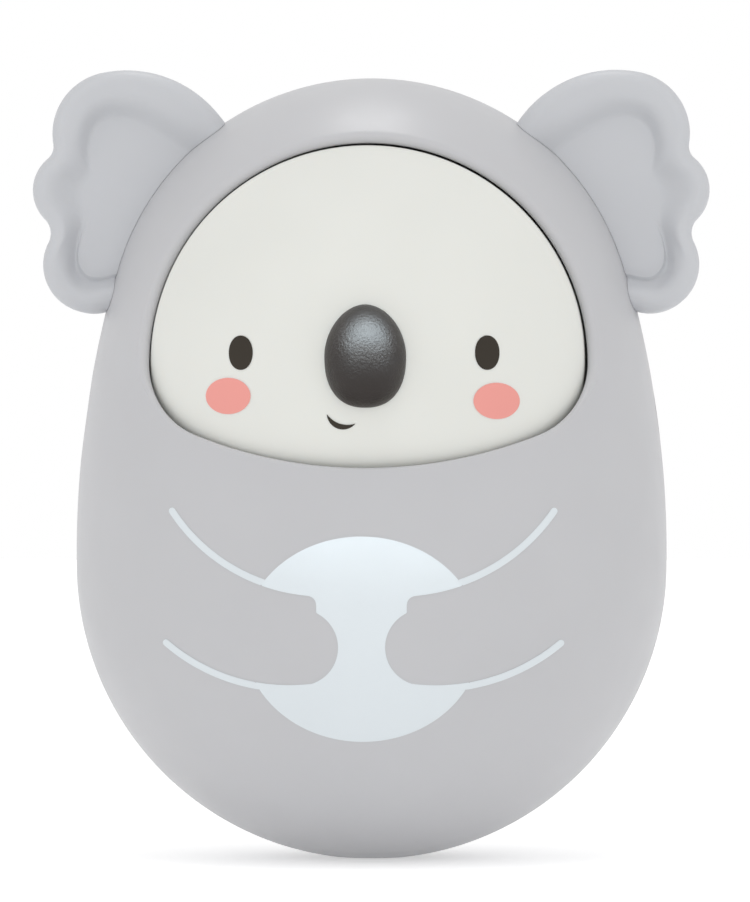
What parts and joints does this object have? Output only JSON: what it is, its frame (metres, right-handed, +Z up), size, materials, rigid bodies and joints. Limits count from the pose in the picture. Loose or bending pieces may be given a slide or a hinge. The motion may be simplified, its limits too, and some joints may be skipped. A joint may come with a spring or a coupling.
{
  "type": "roly poly toy",
  "caption": "Egg-shaped weighted wobble toy with a hooded animal head that rocks on a pivot, seated ears, printed face and belly, and a chime inside.",
  "frame": {"origin": "centre of the small flat under the round base, where the toy rests", "axes": "+Z up, the face looks along -Y, +X to the right of someone who faces the toy"},
  "size_m": [0.112, 0.1029, 0.1305],
  "materials": {
    "body_grey": "satin moulded plastic, light grey",
    "ear_grey": "satin moulded plastic, light grey",
    "head_white": "satin moulded plastic, warm white",
    "nose_black": "finely grained black plastic",
    "ink_black": "pad print",
    "ink_pink": "pad print",
    "ink_pale": "pad print, pale blue white",
    "natural_plastic": "natural moulded plastic",
    "screw_steel": "zinc plated",
    "turned_steel": "turned",
    "spring_steel": "dark spring steel",
    "cast_weight": "as cast",
    "chime_brass": "plain brass"
  },
  "bodies": {
    "body": {"front_shell": "body_grey", "rear_shell": "body_grey", "left_ear": "ear_grey", "right_ear": "ear_grey", "body_screws": "screw_steel", "pivot_pin": "turned_steel", "pivot_washer": "turned_steel", "pivot_clip": "spring_steel", "base_weight": "cast_weight", "weight_tray": "natural_plastic", "base_screws": "screw_steel", "chime_plate": "chime_brass", "chime_rods": "turned_steel", "chime_bracket": "natural_plastic", "link_pin": "turned_steel", "belly_print": "ink_pale", "arm_prints": "ink_pale"},
    "head": {"face_shell": "head_white", "head_back": "head_white", "head_screws": "screw_steel", "nose": "nose_black", "nose_screw": "screw_steel", "head_weight": "turned_steel", "head_weight_screw": "screw_steel", "pivot_bush": "natural_plastic", "eye_prints": "ink_black", "cheek_prints": "ink_pink", "mouth_print": "ink_black"},
    "link": {"clapper_link": "natural_plastic"},
    "clapper": {"clapper": "chime_brass", "clapper_pin": "turned_steel"}
  },
  "joints": [
    {"name": "head_rock", "type": "hinge", "parent": "body", "child": "head", "pos_m": [0, -0.012, 0.0818], "axis": [0, 1, 0], "range_deg": [-15, 15]},
    {"name": "link_swing", "type": "hinge", "parent": "body", "child": "link", "pos_m": [0, 0, 0.0372], "axis": [1, 0, 0], "range_deg": [-9, 9]},
    {"name": "clapper_swing", "type": "hinge", "parent": "link", "child": "clapper", "pos_m": [0, 0, 0.0322], "axis": [0, 1, 0], "range_deg": [-15, 15]}
  ]
}
